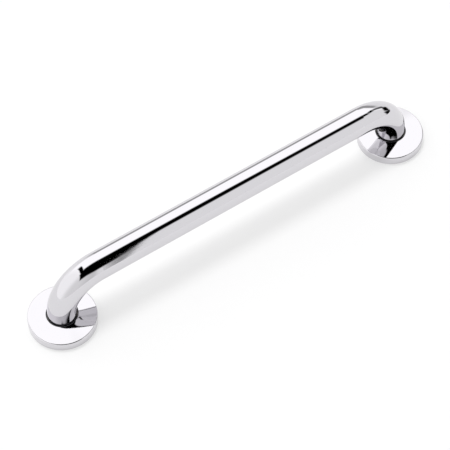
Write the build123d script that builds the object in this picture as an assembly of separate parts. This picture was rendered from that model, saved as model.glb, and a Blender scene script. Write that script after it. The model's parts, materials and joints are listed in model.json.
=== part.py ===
from build123d import *
from math import radians, sqrt, tan
import os

# A straight grab rail: a bent round tube whose two ends are held on wall plates, each hidden
# by a round cover that slides up the leg.
# Frame: the wall is the plane z = 0 and +Z points away from it. X runs along the rail, and
# the origin is midway between the two legs. All sizes are in millimetres.

# Rail
CENTRES = 440.0  # from one leg's axis to the other's
TUBE_DIAMETER = 32.0
TUBE_WALL = 1.5
AXIS_HEIGHT = 66.5  # the grip's axis above the wall
BEND_RADIUS = 48.0  # of the tube's axis, one and a half diameters

# Cover
COVER_DIAMETER = 76.2
COVER_EDGE_HEIGHT = 10.8  # where the face would meet the skirt
COVER_CROWN = 3.5  # from there up to the hole
COVER_SHEET = 1.2
COVER_LAND_RADIUS = 20.4  # of the flat ring under the face that the guide bears on
COVER_EDGE_RADIUS = 1.3
COVER_INNER_RADIUS = 0.4
COVER_RIM_GAP = 0.4  # from the wall to the skirt's lower edge

# Nylon guide in the cover's hole
GUIDE_CLEARANCE = 0.6  # round the tube, which lets the cover climb into the bend
GUIDE_WALL = 0.6
GUIDE_RUNNING_GAP = 0.05  # between the guide and the cover that turns on it
GUIDE_LIP = 0.35  # how far the snap lip spreads into the hole's chamfer
GUIDE_LIP_HEIGHT = 0.45
GUIDE_TOP_RECESS = 0.05
GUIDE_FLANGE_WIDTH = 3.2
GUIDE_FLANGE_THICKNESS = 0.7
HOLE_CHAMFER = 0.5

# Wall plate and gasket
GASKET_THICKNESS = 0.8
GASKET_RADIUS = 36.0
GASKET_BORE_RADIUS = 12.0
GASKET_HOLE_RADIUS = 3.2
PLATE_THICKNESS = 2.5
PLATE_RADIUS = 36.3
PLATE_EDGE_CHAMFER = 0.2
SPIGOT_CLEARANCE = 0.2  # inside the tube
SPIGOT_TOP = 15.0
SPIGOT_BORE_RADIUS = 10.5
SPIGOT_CHAMFER = 1.0
LOCK_GROOVE_DEPTH = 1.65

# Fixing holes in the wall plate
FIXING_COUNT = 3
FIXING_CIRCLE = 58.0  # pitch circle diameter
FIXING_HOLE_RADIUS = 2.75
COUNTERSINK_RADIUS = 4.05
FIXING_START_ANGLE = 90.0

# Rubber ring in the plate's edge
SEAL_SECTION = 1.2
SEAL_CENTRE_RADIUS = 36.0
SEAL_GROOVE_WIDTH = 1.3
SEAL_GROOVE_FLOOR_GAP = 0.05

# Socket round the tube's end
SOCKET_RADIUS = 22.5
SOCKET_TOP = 11.75
SOCKET_BORE_GAP = 0.05
SOCKET_EDGE_CHAMFER = 0.5
BRAZE_LEG = 0.7
BRAZE_GAP = 0.02
BRAZE_CROWN = 0.06

# M4 grub screws
GRUB_COUNT = 3
GRUB_START_ANGLE = 30.0
GRUB_RADIUS = 2.0
GRUB_PITCH = 0.7
GRUB_THREAD_DEPTH = 0.35
GRUB_HOLE_GAP = 0.05
GRUB_TUBE_HOLE_RADIUS = 2.2
GRUB_OUTER_END = 21.3  # distance of the socket end from the leg's axis
GRUB_TIP = 13.3  # distance of the point's flat from the leg's axis
GRUB_TIP_RADIUS = 0.6
GRUB_KEY_WIDTH = 2.0  # across the flats
GRUB_KEY_DEPTH = 2.4

# Sizes that follow from the ones above
TUBE_RADIUS = TUBE_DIAMETER / 2
TUBE_BORE_RADIUS = TUBE_RADIUS - TUBE_WALL
LEG_TOP = AXIS_HEIGHT - BEND_RADIUS
STRAIGHT_LENGTH = CENTRES - 2 * BEND_RADIUS
PLATE_BACK = GASKET_THICKNESS
PLATE_FRONT = GASKET_THICKNESS + PLATE_THICKNESS
SPIGOT_RADIUS = TUBE_BORE_RADIUS - SPIGOT_CLEARANCE
COVER_RADIUS = COVER_DIAMETER / 2
COVER_TOP = COVER_EDGE_HEIGHT + COVER_CROWN
GUIDE_BORE_RADIUS = TUBE_RADIUS + GUIDE_CLEARANCE
GUIDE_NECK_RADIUS = GUIDE_BORE_RADIUS + GUIDE_WALL
COVER_HOLE_RADIUS = GUIDE_NECK_RADIUS + GUIDE_RUNNING_GAP
COVER_SLOPE = COVER_CROWN / (COVER_RADIUS - COVER_HOLE_RADIUS)
COVER_CEILING = COVER_TOP - COVER_SLOPE * (COVER_LAND_RADIUS - COVER_HOLE_RADIUS) - COVER_SHEET
GRUB_HEIGHT = (PLATE_FRONT + SOCKET_TOP) / 2
SEAL_HEIGHT = PLATE_BACK + PLATE_THICKNESS / 2

NEAR = 0.01  # tolerance for picking an edge by its radius and height
OVERSHOOT = 1.0  # how far a cutting tool runs past a face

SIDES = {"left": -1, "right": 1}


def cylinder(radius, bottom, top):
    """A solid cylinder on the Z axis between two heights."""
    upward = (Align.CENTER, Align.CENTER, Align.MIN)
    return Pos(0, 0, bottom) * Cylinder(radius, top - bottom, align=upward)


def turned(*outline):
    """A body of revolution about Z from (radius, height) corners."""
    profile = make_face(Plane.XZ * Polyline(*outline, close=True))
    return revolve(profile, Axis.Z)


def circle_edges(part, radius, height):
    """The part's circular edges of one radius at one height."""
    circles = part.edges().filter_by(GeomType.CIRCLE)
    return [
        edge
        for edge in circles
        if abs(edge.radius - radius) < NEAR and abs(edge.arc_center.Z - height) < NEAR
    ]


def around(start_angle, count):
    """Evenly spaced turns about Z."""
    return [Rot(0, 0, start_angle + step * 360 / count) for step in range(count)]


def radial_tools(radius, inner, outer):
    """Cylinders along the grub screws' axes, between two distances from the leg's axis."""
    tool = Pos(0, 0, GRUB_HEIGHT) * Rot(0, 90, 0) * cylinder(radius, inner, outer)
    return [turn * tool for turn in around(GRUB_START_ANGLE, GRUB_COUNT)]


def rail_tube():
    """Two legs, two quarter bends and the grip between them, open at both ends."""
    bore = TUBE_BORE_RADIUS
    leg = cylinder(TUBE_RADIUS, PLATE_FRONT, LEG_TOP) - cylinder(bore, PLATE_FRONT, LEG_TOP)
    for tool in radial_tools(GRUB_TUBE_HOLE_RADIUS, SPIGOT_RADIUS, SOCKET_RADIUS):
        leg -= tool
    section = Pos(0, 0, LEG_TOP) * (Circle(TUBE_RADIUS) - Circle(bore))
    bend_axis = Axis((BEND_RADIUS, 0, LEG_TOP), (0, 1, 0))
    bend = revolve(section, bend_axis, revolution_arc=90)
    left_end = Pos(-CENTRES / 2, 0, 0) * (leg + bend)
    half = STRAIGHT_LENGTH / 2
    grip = cylinder(TUBE_RADIUS, -half, half) - cylinder(bore, -half, half)
    grip = Pos(0, 0, AXIS_HEIGHT) * Rot(0, 90, 0) * grip
    return left_end + grip + mirror(left_end, about=Plane.YZ)


def wall_plate():
    """A round plate with countersunk holes, a seal groove and a hollow spigot."""
    plate = turned(
        (SPIGOT_BORE_RADIUS, PLATE_BACK),
        (PLATE_RADIUS, PLATE_BACK),
        (PLATE_RADIUS, PLATE_FRONT),
        (SPIGOT_RADIUS, PLATE_FRONT),
        (SPIGOT_RADIUS, GRUB_HEIGHT - LOCK_GROOVE_DEPTH),
        (SPIGOT_RADIUS - LOCK_GROOVE_DEPTH, GRUB_HEIGHT),
        (SPIGOT_RADIUS, GRUB_HEIGHT + LOCK_GROOVE_DEPTH),
        (SPIGOT_RADIUS, SPIGOT_TOP - SPIGOT_CHAMFER),
        (SPIGOT_RADIUS - SPIGOT_CHAMFER, SPIGOT_TOP),
        (SPIGOT_BORE_RADIUS, SPIGOT_TOP),
    )
    rims = circle_edges(plate, PLATE_RADIUS, PLATE_FRONT)
    rims += circle_edges(plate, PLATE_RADIUS, PLATE_BACK)
    plate = chamfer(rims, PLATE_EDGE_CHAMFER)
    for fixing in fixing_tools():
        plate -= fixing
    floor_radius = SEAL_CENTRE_RADIUS - SEAL_SECTION / 2 - SEAL_GROOVE_FLOOR_GAP
    low = SEAL_HEIGHT - SEAL_GROOVE_WIDTH / 2
    high = SEAL_HEIGHT + SEAL_GROOVE_WIDTH / 2
    outside = PLATE_RADIUS + OVERSHOOT
    return plate - (cylinder(outside, low, high) - cylinder(floor_radius, low, high))


def fixing_tools():
    """Countersunk cutters for the wall screws."""
    sink_depth = COUNTERSINK_RADIUS - FIXING_HOLE_RADIUS
    cutter = turned(
        (0, PLATE_BACK - OVERSHOOT),
        (FIXING_HOLE_RADIUS, PLATE_BACK - OVERSHOOT),
        (FIXING_HOLE_RADIUS, PLATE_FRONT - sink_depth),
        (COUNTERSINK_RADIUS, PLATE_FRONT),
        (COUNTERSINK_RADIUS, PLATE_FRONT + OVERSHOOT),
        (0, PLATE_FRONT + OVERSHOOT),
    )
    outward = Pos(FIXING_CIRCLE / 2, 0, 0)
    return [turn * outward * cutter for turn in around(FIXING_START_ANGLE, FIXING_COUNT)]


def wall_gasket():
    """A flat rubber washer between the plate and the wall, with room for the screws."""
    gasket = cylinder(GASKET_RADIUS, 0, GASKET_THICKNESS)
    gasket -= cylinder(GASKET_BORE_RADIUS, 0, GASKET_THICKNESS)
    hole = Pos(FIXING_CIRCLE / 2, 0, 0) * cylinder(GASKET_HOLE_RADIUS, 0, GASKET_THICKNESS)
    for turn in around(FIXING_START_ANGLE, FIXING_COUNT):
        gasket -= turn * hole
    return gasket


def cover_seal():
    """The rubber ring round the plate's edge."""
    return Pos(0, 0, SEAL_HEIGHT) * Torus(SEAL_CENTRE_RADIUS, SEAL_SECTION / 2)


def end_socket():
    """A thick ring round the tube's end, threaded for the grub screws."""
    bore = TUBE_RADIUS + SOCKET_BORE_GAP
    socket = turned(
        (bore, PLATE_FRONT),
        (SOCKET_RADIUS, PLATE_FRONT),
        (SOCKET_RADIUS, SOCKET_TOP - SOCKET_EDGE_CHAMFER),
        (SOCKET_RADIUS - SOCKET_EDGE_CHAMFER, SOCKET_TOP),
        (TUBE_RADIUS + BRAZE_LEG, SOCKET_TOP),
        (bore, SOCKET_TOP - BRAZE_LEG),
    )
    reach = SOCKET_RADIUS + OVERSHOOT
    for tool in radial_tools(GRUB_RADIUS + GRUB_HOLE_GAP, TUBE_RADIUS - OVERSHOOT, reach):
        socket -= tool
    return socket


def braze_ring():
    """The filler metal in the chamfer between the socket and the tube."""
    inner = TUBE_RADIUS + BRAZE_GAP
    outer = TUBE_RADIUS + BRAZE_LEG - SOCKET_BORE_GAP
    crown = SOCKET_TOP + BRAZE_CROWN
    outline = Polyline((outer, SOCKET_TOP), (inner, SOCKET_TOP - BRAZE_LEG + BRAZE_GAP), (inner, crown))
    surface = Line((inner, crown), (outer, SOCKET_TOP))
    profile = make_face(Plane.XZ * (outline + surface))
    return revolve(profile, Axis.Z)


def grub_screw():
    """A hexagon-socket grub screw with a cone point, along Z, its threads drawn as rings."""
    root = GRUB_RADIUS - GRUB_THREAD_DEPTH
    cone_top = GRUB_TIP + GRUB_RADIUS - GRUB_TIP_RADIUS
    outline = [(0, GRUB_TIP), (GRUB_TIP_RADIUS, GRUB_TIP), (GRUB_RADIUS, cone_top)]
    rings = int((GRUB_OUTER_END - GRUB_THREAD_DEPTH - cone_top) / GRUB_PITCH)
    for ring in range(rings):
        crest = cone_top + ring * GRUB_PITCH
        outline.append((root, crest + GRUB_PITCH / 2))
        outline.append((GRUB_RADIUS, crest + GRUB_PITCH))
    outline.append((GRUB_RADIUS, GRUB_OUTER_END - GRUB_THREAD_DEPTH))
    outline.append((root, GRUB_OUTER_END))
    outline.append((0, GRUB_OUTER_END))
    key = RegularPolygon(GRUB_KEY_WIDTH / 2, 6, major_radius=False)
    floor = GRUB_OUTER_END - GRUB_KEY_DEPTH
    drilled_cone = Pos(0, 0, floor) * Rot(180, 0, 0) * drill_point()
    recess = Pos(0, 0, floor) * extrude(key, GRUB_KEY_DEPTH + OVERSHOOT)
    return turned(*outline) - recess - drilled_cone


def drill_point():
    """The shallow cone that a drill leaves under the key's hexagon, along +Z."""
    radius = GRUB_KEY_WIDTH / 2
    depth = radius * tan(radians(31))
    return turned((0, 0), (radius, 0), (0, depth))


def cover_guide():
    """A nylon ring with a flange under the cover and a snap lip in the hole's chamfer."""
    flange_radius = GUIDE_BORE_RADIUS + GUIDE_FLANGE_WIDTH
    top = COVER_TOP - GUIDE_TOP_RECESS
    return turned(
        (GUIDE_BORE_RADIUS, COVER_CEILING - GUIDE_FLANGE_THICKNESS),
        (flange_radius, COVER_CEILING - GUIDE_FLANGE_THICKNESS),
        (flange_radius, COVER_CEILING),
        (GUIDE_NECK_RADIUS, COVER_CEILING),
        (GUIDE_NECK_RADIUS, top - GUIDE_LIP_HEIGHT),
        (GUIDE_NECK_RADIUS + GUIDE_LIP, top),
        (GUIDE_BORE_RADIUS, top),
    )


def face_height(radius):
    """The height of the cover's sloping face at a distance from the leg's axis."""
    return COVER_TOP - COVER_SLOPE * (radius - COVER_HOLE_RADIUS)


def cover():
    """A thin round shell with a shallow conical face, a skirt and a chamfered hole for the tube."""
    inside = COVER_RADIUS - COVER_SHEET
    corner = face_height(inside) - COVER_SHEET
    hole_rim = COVER_HOLE_RADIUS + HOLE_CHAMFER
    shell = turned(
        (COVER_HOLE_RADIUS, COVER_CEILING),
        (COVER_LAND_RADIUS, COVER_CEILING),
        (inside, corner),
        (inside, COVER_RIM_GAP),
        (COVER_RADIUS, COVER_RIM_GAP),
        (COVER_RADIUS, COVER_EDGE_HEIGHT),
        (hole_rim, face_height(hole_rim)),
        (COVER_HOLE_RADIUS, COVER_TOP - HOLE_CHAMFER),
    )
    shell = fillet(circle_edges(shell, COVER_RADIUS, COVER_EDGE_HEIGHT), COVER_EDGE_RADIUS)
    return fillet(circle_edges(shell, inside, corner), COVER_INNER_RADIUS)


def cover_travel():
    """How far the cover can rise before its guide would touch the inside of the bend."""
    inner_bend = BEND_RADIUS - TUBE_RADIUS
    climb = sqrt(inner_bend**2 - (inner_bend - GUIDE_CLEARANCE) ** 2)
    return LEG_TOP + climb - COVER_TOP


def write(name, part):
    """One STEP file for one named piece."""
    export_step(part, os.path.join("parts", name + ".step"))


def build_all():
    os.makedirs("parts", exist_ok=True)
    write("rail_tube", rail_tube())
    pieces = {
        "wall_plate": wall_plate(),
        "wall_gasket": wall_gasket(),
        "cover_seal": cover_seal(),
        "end_socket": end_socket(),
        "braze_ring": braze_ring(),
        "cover_guide": cover_guide(),
        "cover": cover(),
    }
    laid_screw = Pos(0, 0, GRUB_HEIGHT) * Rot(0, 90, 0) * grub_screw()
    for side, sign in SIDES.items():
        leg = Pos(sign * CENTRES / 2, 0, 0)
        for name, piece in pieces.items():
            write(f"{name}_{side}", leg * piece)
        for number, turn in enumerate(around(GRUB_START_ANGLE, GRUB_COUNT), start=1):
            write(f"grub_screw_{side}_{number}", leg * turn * laid_screw)
    print("cover travel before it touches the bend:", round(cover_travel(), 2), "mm")


build_all()
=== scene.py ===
"""Looks for the chrome grab rail: camera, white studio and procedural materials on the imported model.

Everything is in metres in the model's own frame: X along the rail, Y across it, Z away from the wall,
which is the white floor here.
"""

import json
import math

import bpy
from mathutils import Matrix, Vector


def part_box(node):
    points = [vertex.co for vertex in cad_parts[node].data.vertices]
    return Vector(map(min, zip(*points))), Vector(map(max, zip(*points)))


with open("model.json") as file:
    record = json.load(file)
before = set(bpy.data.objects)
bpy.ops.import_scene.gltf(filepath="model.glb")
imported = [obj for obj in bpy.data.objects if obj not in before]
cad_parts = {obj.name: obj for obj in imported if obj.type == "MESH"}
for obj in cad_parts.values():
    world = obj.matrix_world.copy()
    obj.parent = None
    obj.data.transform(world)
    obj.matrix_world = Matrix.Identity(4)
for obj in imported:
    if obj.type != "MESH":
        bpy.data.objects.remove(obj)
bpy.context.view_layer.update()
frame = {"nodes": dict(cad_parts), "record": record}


# ---------------------------------------------------------------- sizes read from the model

def centre_of(node_name):
    low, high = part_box(node_name)
    return (low + high) / 2


LEG_X = centre_of("cover_right").x          # each leg stands this far from the middle of the rail


# ---------------------------------------------------------------- small node-building helpers

class Graph:
    """A thin wrapper that adds and links shader nodes in one tree."""

    def __init__(self, tree):
        self.tree = tree
        tree.nodes.clear()

    def add(self, kind, **settings):
        made = self.tree.nodes.new(kind)
        for name, value in settings.items():
            setattr(made, name, value)
        return made

    def feed(self, socket, value):
        """Links another node's output into a socket, or sets a plain value on it."""
        if isinstance(value, bpy.types.NodeSocket):
            self.tree.links.new(value, socket)
        elif value is not None:
            socket.default_value = value

    def math(self, operation, first, second=None, third=None):
        made = self.add("ShaderNodeMath", operation=operation)
        for socket, value in zip(made.inputs, (first, second, third)):
            self.feed(socket, value)
        return made.outputs[0]

    def vector(self, operation, first, second=None):
        made = self.add("ShaderNodeVectorMath", operation=operation)
        self.feed(made.inputs[0], first)
        self.feed(made.inputs[1], second)
        scalar = operation in ("DOT_PRODUCT", "LENGTH", "DISTANCE")
        return made.outputs["Value" if scalar else "Vector"]

    def ramp(self, value, start, end, low=0.0, high=1.0):
        """A smooth change from low to high as value goes from start to end; each may be a socket."""
        made = self.add("ShaderNodeMapRange", interpolation_type="SMOOTHSTEP")
        for name, limit in (("From Min", start), ("From Max", end), ("To Min", low), ("To Max", high)):
            self.feed(made.inputs[name], limit)
        self.feed(made.inputs["Value"], value)
        return made.outputs["Result"]

    def window(self, value, start, end, softness):
        """One between start and end, and zero outside, with soft edges."""
        rise = self.ramp(value, start - softness, start + softness)
        fall = self.ramp(value, end - softness, end + softness, 1.0, 0.0)
        return self.math("MULTIPLY", rise, fall)

    def noise(self, coordinates, scale, detail=3.0, roughness=0.55):
        made = self.add("ShaderNodeTexNoise")
        made.inputs["Scale"].default_value = scale
        made.inputs["Detail"].default_value = detail
        made.inputs["Roughness"].default_value = roughness
        self.feed(made.inputs["Vector"], coordinates)
        return made.outputs["Fac"]

    def blend(self, factor, first, second):
        made = self.add("ShaderNodeMix", data_type="RGBA")
        self.feed(made.inputs["Factor"], factor)
        self.feed(made.inputs["A"], first)
        self.feed(made.inputs["B"], second)
        return made.outputs["Result"]


def distance_from_leg(graph):
    """How far a point is, seen from above, from the axis of the nearer leg."""
    place = graph.add("ShaderNodeTexCoord").outputs["Object"]
    parts = graph.add("ShaderNodeSeparateXYZ")
    graph.feed(parts.inputs[0], place)
    from_leg = graph.math("SUBTRACT", graph.math("ABSOLUTE", parts.outputs["X"]), LEG_X)
    square = graph.math("MULTIPLY", from_leg, from_leg)
    square = graph.math("MULTIPLY_ADD", parts.outputs["Y"], parts.outputs["Y"], square)
    return graph.math("SQRT", square)


# ---------------------------------------------------------------- camera

CAMERA_PLACE = Vector((-0.6638, -0.9721, 1.7393))
CAMERA_AZIMUTH = math.radians(-33.968)
CAMERA_ELEVATION = math.radians(55.888)
FIELD_OF_VIEW = math.radians(13.6561)


def make_camera():
    lens = bpy.data.cameras.new("camera")
    lens.sensor_width = 36.0
    lens.lens = lens.sensor_width / 2 / math.tan(FIELD_OF_VIEW / 2)
    lens.clip_start = 0.05
    lens.clip_end = 60.0
    camera = bpy.data.objects.new("camera", lens)
    back = Vector((
        math.sin(CAMERA_AZIMUTH) * math.cos(CAMERA_ELEVATION),
        -math.cos(CAMERA_AZIMUTH) * math.cos(CAMERA_ELEVATION),
        math.sin(CAMERA_ELEVATION),
    ))
    camera.location = CAMERA_PLACE
    camera.rotation_mode = "QUATERNION"
    camera.rotation_quaternion = (-back).to_track_quat("-Z", "Y")
    bpy.context.scene.collection.objects.link(camera)
    bpy.context.scene.camera = camera


# ---------------------------------------------------------------- studio: a white tent with dark openings

# The light that reaches the chrome depends on its direction. Two numbers name a direction: "along" is how
# far it leans along the rail (-1 to 1), and "turn" is the angle round the rail in degrees, from the far
# side (0) through straight up (90) to the near side (180).

TENT_LIGHT = 1.0                             # the tent's cloth
LEFT_END_LIGHT = 1.24                        # the cloth past the rail's left end
SOFTBOX_LIGHT = 1.45                         # the lamp above the far side
NEAR_SIDE_SHADE = 0.74                       # what is left of the light low on the near side, at the left
CAMERA_VIEW_LIGHT = 1.05                     # the plain white ground that the camera sees
WHITE = (1.0, 1.0, 1.0, 1.0)

# Pairs of limits between which a light or shade fades. They are in "along" unless their name says
# TURN (degrees) or ACROSS (-1 on the near side to 1 on the far side).
LEFT_CLOTH_FADE = (-0.5, 0.05)
LAMP_EDGE_CLIMB = (0.36, 0.85)
LAMP_EDGE_TURN = (19.0, 62.0)
LAMP_EDGE_SOFT_BELOW = 4.0
LAMP_EDGE_SOFT_ABOVE = 7.0
LAMP_TOP_TURN = (90.0, 100.0)
LAMP_LEFT_FADE = (-0.6, -0.25)
NEAR_SIDE_ACROSS = (-0.8, 0.1)
NEAR_SIDE_FADE = (-0.05, 0.22)

GREY_STRIP_DEPTH = 0.58
GREY_STRIP_WIDTH = 28.0                      # in turn
GREY_STRIP_SOFTNESS = 4.0
GREY_STRIP_LEFT_FADE = (0.05, 0.27)
GREY_STRIP_RIGHT_FADE = (0.75, 0.9)

OPENING_ENDS = (-0.49, 0.46)
OPENING_END_SOFTNESS = 0.025
OPENING_SOFTNESS = 5.0                       # of its long edges, in turn
OPENING_LOW_LEFT = ((-0.45, -0.25), (100.0, 84.5))
OPENING_LOW_CLIMB = ((0.3, 0.39), (0.0, 5.5))
OPENING_HIGH_LEFT = ((-0.3, 0.1), (139.0, 146.0))
OPENING_HIGH_DROP = ((0.254, 0.284), (0.0, -31.0))

ARM_LEAN_TURN = (45.0, 95.0)
ARM_LEAN = (-0.30, -0.38)
ARM_HALF_WIDTH = 0.07
ARM_SOFTNESS = 0.02
ARM_ENDS_TURN = (50.0, 122.0)
ARM_END_SOFTNESS = 7.0

WEDGE_LOW_TURN = 112.0
WEDGE_HIGH = ((0.256, 0.277), (190.0, 116.0))
WEDGE_SOFTNESS = 6.0
WEDGE_ENDS = (0.25, 0.276)
WEDGE_END_SOFTNESS = 0.005
WEDGE_DEPTH = ((0.25, 0.272), (0.5, 0.8))

# Narrow dark gaps between the tent's cloths: where each starts and ends (azimuth from +Y towards +X, then
# elevation), its half width and edge softness in degrees, and how much of the light it takes away.
DARK_GAPS = (
    ((121, 65), (97, 53), 7.0, 3.0, 1.0),
    ((97, 53), (83, 41), 6.0, 2.5, 1.0),
    ((83, 41), (79, 14), 6.0, 3.0, 0.9),
    ((79, 14), (101, 8), 7.5, 3.0, 1.0),
    ((101, 8), (112, -8), 11.0, 3.0, 1.0),
)


def direction(azimuth, elevation):
    """A unit vector from an azimuth and an elevation in degrees."""
    a, e = math.radians(azimuth), math.radians(elevation)
    return Vector((math.sin(a) * math.cos(e), math.cos(a) * math.cos(e), math.sin(e)))


def dark_gap(graph, ray, start, end, half_width, softness):
    """One along a band of the tent between two directions, with soft edges."""
    start, end = direction(*start), direction(*end)
    across = start.cross(end).normalized()
    ahead = across.cross(start)
    length = math.acos(max(-1.0, min(1.0, start.dot(end))))
    off_band = graph.math("ABSOLUTE", graph.vector("DOT_PRODUCT", ray, across))
    travelled = graph.math(
        "ARCTAN2",
        graph.vector("DOT_PRODUCT", ray, ahead),
        graph.vector("DOT_PRODUCT", ray, start),
    )
    inner = math.sin(math.radians(half_width - softness))
    outer = math.sin(math.radians(half_width + softness))
    in_band = graph.ramp(off_band, inner, outer, 1.0, 0.0)
    in_length = graph.window(travelled, 0.0, length, math.radians(softness))
    return graph.math("MULTIPLY", in_band, in_length)


def band_between(graph, turn, low, high, softness):
    """One where turn lies between two limits that may themselves change along the rail."""
    rise = graph.ramp(
        turn,
        graph.math("SUBTRACT", low, softness),
        graph.math("ADD", low, softness),
    )
    fall = graph.ramp(
        turn,
        graph.math("SUBTRACT", high, softness),
        graph.math("ADD", high, softness),
        1.0,
        0.0,
    )
    return graph.math("MULTIPLY", rise, fall)


def lamp_edge(graph, along):
    """The turn at which the lamp starts on the far side; it rises towards the right end."""
    return graph.ramp(along, *LAMP_EDGE_CLIMB, *LAMP_EDGE_TURN)


def lit_cloth(graph, along, across, turn):
    """The tent's cloth with the lamp behind it, dimmer on the near side of the left end."""
    base = graph.ramp(along, *LEFT_CLOTH_FADE, LEFT_END_LIGHT, TENT_LIGHT)
    edge = lamp_edge(graph, along)
    lamp = graph.ramp(
        turn,
        graph.math("SUBTRACT", edge, LAMP_EDGE_SOFT_BELOW),
        graph.math("ADD", edge, LAMP_EDGE_SOFT_ABOVE),
    )
    lamp = graph.math("MULTIPLY", lamp, graph.ramp(turn, *LAMP_TOP_TURN, 1.0, 0.0))
    lamp = graph.math("MULTIPLY", lamp, graph.ramp(along, *LAMP_LEFT_FADE))
    extra = graph.math("MULTIPLY", lamp, graph.math("SUBTRACT", SOFTBOX_LIGHT, base))
    lit = graph.math("ADD", base, extra)
    near_side = graph.math(
        "MULTIPLY",
        graph.ramp(across, *NEAR_SIDE_ACROSS, 1.0, 0.0),
        graph.ramp(along, *NEAR_SIDE_FADE, 1.0, 0.0),
    )
    return graph.math("MULTIPLY", lit, graph.ramp(near_side, 0.0, 1.0, 1.0, NEAR_SIDE_SHADE))


def grey_strip(graph, along, turn):
    """A half-shaded cloth below the lamp."""
    edge = lamp_edge(graph, along)
    low = graph.math("SUBTRACT", edge, GREY_STRIP_WIDTH)
    strip = band_between(graph, turn, low, edge, GREY_STRIP_SOFTNESS)
    strip = graph.math("MULTIPLY", strip, graph.ramp(along, *GREY_STRIP_LEFT_FADE))
    strip = graph.math("MULTIPLY", strip, graph.ramp(along, *GREY_STRIP_RIGHT_FADE, 1.0, 0.0))
    return graph.math("MULTIPLY", strip, GREY_STRIP_DEPTH)


def stepped(graph, along, limits, values):
    """A value that changes between two limits of along."""
    return graph.ramp(along, *limits, *values)


def camera_opening(graph, along, turn):
    """The opening the camera looks through, narrowing to a dark stripe towards the right."""
    low = graph.math(
        "ADD",
        stepped(graph, along, *OPENING_LOW_LEFT),
        stepped(graph, along, *OPENING_LOW_CLIMB),
    )
    high = graph.math(
        "ADD",
        stepped(graph, along, *OPENING_HIGH_LEFT),
        stepped(graph, along, *OPENING_HIGH_DROP),
    )
    band = band_between(graph, turn, low, high, OPENING_SOFTNESS)
    return graph.math("MULTIPLY", band, graph.window(along, *OPENING_ENDS, OPENING_END_SOFTNESS))


def left_arm(graph, along, turn):
    """A stand beside the lamp, on its left."""
    middle = graph.ramp(turn, *ARM_LEAN_TURN, *ARM_LEAN)
    off_middle = graph.math("SUBTRACT", along, middle)
    arm = graph.window(off_middle, -ARM_HALF_WIDTH, ARM_HALF_WIDTH, ARM_SOFTNESS)
    return graph.math("MULTIPLY", arm, graph.window(turn, *ARM_ENDS_TURN, ARM_END_SOFTNESS))


def grey_wedge(graph, along, turn):
    """A shaded cloth under the camera opening that tapers to a point."""
    high = stepped(graph, along, *WEDGE_HIGH)
    wedge = band_between(graph, turn, WEDGE_LOW_TURN, high, WEDGE_SOFTNESS)
    wedge = graph.math("MULTIPLY", wedge, graph.window(along, *WEDGE_ENDS, WEDGE_END_SOFTNESS))
    return graph.math("MULTIPLY", wedge, stepped(graph, along, *WEDGE_DEPTH))


def make_studio_light():
    """World light that depends only on direction; the camera itself sees a plain white world."""
    world = bpy.data.worlds.new("studio")
    world.use_nodes = True
    bpy.context.scene.world = world
    graph = Graph(world.node_tree)
    ray = graph.add("ShaderNodeTexCoord").outputs["Generated"]
    parts = graph.add("ShaderNodeSeparateXYZ")
    graph.feed(parts.inputs[0], ray)
    along = parts.outputs["X"]
    across = parts.outputs["Y"]
    turn = graph.math("DEGREES", graph.math("ARCTAN2", parts.outputs["Z"], across))
    shades = [
        grey_strip(graph, along, turn),
        camera_opening(graph, along, turn),
        left_arm(graph, along, turn),
        grey_wedge(graph, along, turn),
    ]
    for start, end, half_width, softness, depth in DARK_GAPS:
        gap = dark_gap(graph, ray, start, end, half_width, softness)
        shades.append(graph.math("MULTIPLY", gap, depth))
    shade = shades[0]
    for other in shades[1:]:
        shade = graph.math("MAXIMUM", shade, other)
    cloth = lit_cloth(graph, along, across, turn)
    light = graph.math("MULTIPLY", cloth, graph.math("SUBTRACT", 1.0, shade))
    lit = graph.add("ShaderNodeBackground")
    graph.feed(lit.inputs["Strength"], light)
    lit.inputs["Color"].default_value = WHITE
    plain = graph.add("ShaderNodeBackground")
    plain.inputs["Color"].default_value = WHITE
    plain.inputs["Strength"].default_value = CAMERA_VIEW_LIGHT
    choice = graph.add("ShaderNodeMixShader")
    graph.feed(choice.inputs[0], graph.add("ShaderNodeLightPath").outputs["Is Camera Ray"])
    graph.feed(choice.inputs[1], lit.outputs[0])
    graph.feed(choice.inputs[2], plain.outputs[0])
    output = graph.add("ShaderNodeOutputWorld")
    graph.feed(output.inputs["Surface"], choice.outputs[0])


FLOOR_REACH = 20.0                           # half the side of the floor
FLOOR_DROP = 0.00005                         # keeps it clear of the gaskets' undersides
FLOOR_GLOW = 0.57                            # lifts the paper to pure white where no shadow falls
FLOOR_GRAIN = 900.0                          # paper grains to the metre
PAPER_DARK = (0.35, 0.35, 0.35, 1)
PAPER_LIGHT = (0.37, 0.37, 0.37, 1)
SHADOW_LAMP_POWER = 1.35                     # casts the soft shadow of the rail
SHADOW_LAMP_SPREAD = math.radians(17)
SHADOW_LAMP_LEAN = math.radians(15)          # how far from straight above, towards the far side


def make_shadow_lamp():
    sun = bpy.data.lights.new("shadow_lamp", "SUN")
    sun.energy = SHADOW_LAMP_POWER
    sun.angle = SHADOW_LAMP_SPREAD
    lamp = bpy.data.objects.new("shadow_lamp", sun)
    lamp.rotation_euler = (-SHADOW_LAMP_LEAN, 0.0, 0.0)
    lamp.visible_glossy = False
    bpy.context.scene.collection.objects.link(lamp)


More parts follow.
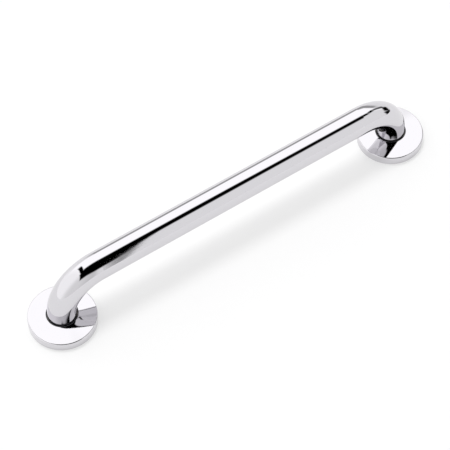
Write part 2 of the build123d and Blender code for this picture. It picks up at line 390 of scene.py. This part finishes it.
def make_floor():
    mesh = bpy.data.meshes.new("floor")
    corners = [
        (x * FLOOR_REACH, y * FLOOR_REACH, -FLOOR_DROP)
        for x, y in ((-1, -1), (1, -1), (1, 1), (-1, 1))
    ]
    mesh.from_pydata(corners, [], [(0, 1, 2, 3)])
    floor = bpy.data.objects.new("floor", mesh)
    bpy.context.scene.collection.objects.link(floor)
    paper = bpy.data.materials.new("white_paper")
    paper.use_nodes = True
    graph = Graph(paper.node_tree)
    place = graph.add("ShaderNodeTexCoord").outputs["Object"]
    grain = graph.noise(place, FLOOR_GRAIN)
    shader = graph.add("ShaderNodeBsdfPrincipled")
    graph.feed(shader.inputs["Base Color"], graph.blend(grain, PAPER_DARK, PAPER_LIGHT))
    shader.inputs["Roughness"].default_value = 0.9
    shader.inputs["Specular IOR Level"].default_value = 0.1
    shader.inputs["Emission Color"].default_value = WHITE
    shader.inputs["Emission Strength"].default_value = FLOOR_GLOW
    output = graph.add("ShaderNodeOutputMaterial")
    graph.feed(output.inputs["Surface"], shader.outputs[0])
    mesh.materials.append(paper)


# ---------------------------------------------------------------- materials

def new_material(name):
    material = bpy.data.materials.new(name)
    material.use_nodes = True
    graph = Graph(material.node_tree)
    shader = graph.add("ShaderNodeBsdfPrincipled")
    output = graph.add("ShaderNodeOutputMaterial")
    graph.feed(output.inputs["Surface"], shader.outputs[0])
    return material, graph, shader


def stretched(graph, factors):
    """Object coordinates scaled by three factors, so that a noise runs out into streaks."""
    place = graph.add("ShaderNodeTexCoord").outputs["Object"]
    return graph.vector("MULTIPLY", place, factors)


def ring_coordinates(graph, ring_scale, height_scale):
    """Coordinates that change with the distance from the nearer leg's axis, for turned or spun surfaces."""
    place = graph.add("ShaderNodeTexCoord").outputs["Object"]
    parts = graph.add("ShaderNodeSeparateXYZ")
    graph.feed(parts.inputs[0], place)
    joined = graph.add("ShaderNodeCombineXYZ")
    graph.feed(joined.inputs["X"], graph.math("MULTIPLY", distance_from_leg(graph), ring_scale))
    graph.feed(joined.inputs["Y"], graph.math("MULTIPLY", parts.outputs["Z"], height_scale))
    return joined.outputs[0]


def bump(graph, shader, height, strength, distance):
    made = graph.add("ShaderNodeBump")
    made.inputs["Strength"].default_value = strength
    made.inputs["Distance"].default_value = distance
    graph.feed(made.inputs["Height"], height)
    graph.feed(shader.inputs["Normal"], made.outputs["Normal"])


CHROME_TINT = (0.685, 0.672, 0.700, 1.0)
CHROME_TINT_DEEP = (0.665, 0.655, 0.682, 1.0)
SMUDGE_SCALE = 24.0                          # smudges to the metre
SMUDGE_HAZE = 0.03                           # roughness that a smudge adds
TUBE_POLISH_SCALES = (60.0, 1400.0, 1400.0)  # long streaks along the rail
COVER_RING_SCALE = 2200.0
COVER_HEIGHT_SCALE = 1500.0


def chrome(name, polish_coordinates):
    """Bright chrome plate: a near mirror with faint polishing lines and a few soft smudges."""
    material, graph, shader = new_material(name)
    place = graph.add("ShaderNodeTexCoord").outputs["Object"]
    polish = graph.noise(polish_coordinates(graph), 1.0, 4.0, 0.6)
    smudge = graph.noise(place, SMUDGE_SCALE, 4.0, 0.6)
    hazy = graph.ramp(smudge, 0.56, 0.74)
    fine = graph.ramp(polish, 0.3, 0.75, 0.025, 0.045)
    graph.feed(shader.inputs["Roughness"], graph.math("MULTIPLY_ADD", hazy, SMUDGE_HAZE, fine))
    graph.feed(shader.inputs["Base Color"], graph.blend(polish, CHROME_TINT, CHROME_TINT_DEEP))
    shader.inputs["Metallic"].default_value = 1.0
    bump(graph, shader, polish, 0.02, 0.0002)
    return material


def tube_polish(graph):
    return stretched(graph, TUBE_POLISH_SCALES)


def cover_polish(graph):
    return ring_coordinates(graph, COVER_RING_SCALE, COVER_HEIGHT_SCALE)


def turned_metal(name, light, dark, roughness, ring_scale):
    """Machined steel, with the fine rings that the tool leaves."""
    material, graph, shader = new_material(name)
    rings = graph.noise(ring_coordinates(graph, ring_scale, ring_scale), 1.0, 2.0, 0.5)
    place = graph.add("ShaderNodeTexCoord").outputs["Object"]
    stain = graph.noise(place, 70.0, 4.0, 0.6)
    tone = graph.math("MULTIPLY", graph.math("ADD", rings, stain), 0.5)
    graph.feed(shader.inputs["Base Color"], graph.blend(tone, light, dark))
    graph.feed(shader.inputs["Roughness"], graph.ramp(tone, 0.3, 0.7, roughness, roughness + 0.14))
    shader.inputs["Metallic"].default_value = 1.0
    bump(graph, shader, rings, 0.3, 0.00006)
    return material


BRAZE_BRIGHT = (0.44, 0.42, 0.37, 1)
BRAZE_STAINED = (0.28, 0.26, 0.23, 1)


def braze_metal():
    """Dull silver-brass filler that has flowed and cooled in small ripples."""
    material, graph, shader = new_material("braze_metal")
    place = graph.add("ShaderNodeTexCoord").outputs["Object"]
    ripple = graph.noise(place, 700.0, 3.0, 0.6)
    heat = graph.noise(place, 120.0, 3.0, 0.6)
    graph.feed(shader.inputs["Base Color"], graph.blend(heat, BRAZE_BRIGHT, BRAZE_STAINED))
    graph.feed(shader.inputs["Roughness"], graph.ramp(ripple, 0.3, 0.7, 0.32, 0.5))
    shader.inputs["Metallic"].default_value = 1.0
    bump(graph, shader, ripple, 0.4, 0.0001)
    return material


def moulded(name, dark, light, grain_scale, low_roughness, high_roughness, depth):
    """Moulded nylon or rubber: a near-black base, a fine skin and paler dusty patches."""
    material, graph, shader = new_material(name)
    place = graph.add("ShaderNodeTexCoord").outputs["Object"]
    grain = graph.noise(place, grain_scale, 3.0, 0.6)
    dust = graph.noise(place, 90.0, 4.0, 0.65)
    graph.feed(shader.inputs["Base Color"], graph.blend(graph.ramp(dust, 0.4, 0.75), dark, light))
    graph.feed(shader.inputs["Roughness"], graph.ramp(grain, 0.3, 0.7, low_roughness, high_roughness))
    bump(graph, shader, grain, 0.35, depth)
    return material


SOCKET_STEEL = ((0.62, 0.62, 0.63, 1), (0.50, 0.50, 0.52, 1))
PLATE_STEEL = ((0.60, 0.60, 0.61, 1), (0.46, 0.46, 0.48, 1))
SCREW_STEEL = ((0.42, 0.42, 0.44, 1), (0.27, 0.27, 0.29, 1))
NYLON_DARK = (0.022, 0.022, 0.026, 1)
NYLON_DUSTY = (0.05, 0.05, 0.055, 1)
RUBBER_DARK = (0.027, 0.027, 0.028, 1)
RUBBER_DUSTY = (0.07, 0.068, 0.065, 1)


def make_materials():
    return {
        "chrome_tube": chrome("chrome_tube", tube_polish),
        "chrome_cover": chrome("chrome_cover", cover_polish),
        "dark_nylon": moulded("dark_nylon", NYLON_DARK, NYLON_DUSTY, 2600.0, 0.36, 0.52, 0.00002),
        "turned_steel": turned_metal("turned_steel", *SOCKET_STEEL, 0.20, 9000.0),
        "plate_steel": turned_metal("plate_steel", *PLATE_STEEL, 0.26, 5200.0),
        "screw_steel": turned_metal("screw_steel", *SCREW_STEEL, 0.30, 12000.0),
        "braze_metal": braze_metal(),
        "gasket_rubber": moulded("gasket_rubber", RUBBER_DARK, RUBBER_DUSTY, 1500.0, 0.7, 0.9, 0.00004),
        "seal_rubber": moulded("seal_rubber", RUBBER_DARK, RUBBER_DUSTY, 2200.0, 0.5, 0.7, 0.00002),
    }


def dress_nodes():
    """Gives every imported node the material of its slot."""
    materials = make_materials()
    for part in frame["record"]["subparts"]:
        mesh = frame["nodes"][part["node"]].data
        mesh.materials.clear()
        mesh.materials.append(materials[part["material_slot"]])


# ---------------------------------------------------------------- the scene

make_camera()
make_studio_light()
make_shadow_lamp()
make_floor()
dress_nodes()
bpy.context.scene.view_settings.view_transform = "Standard"
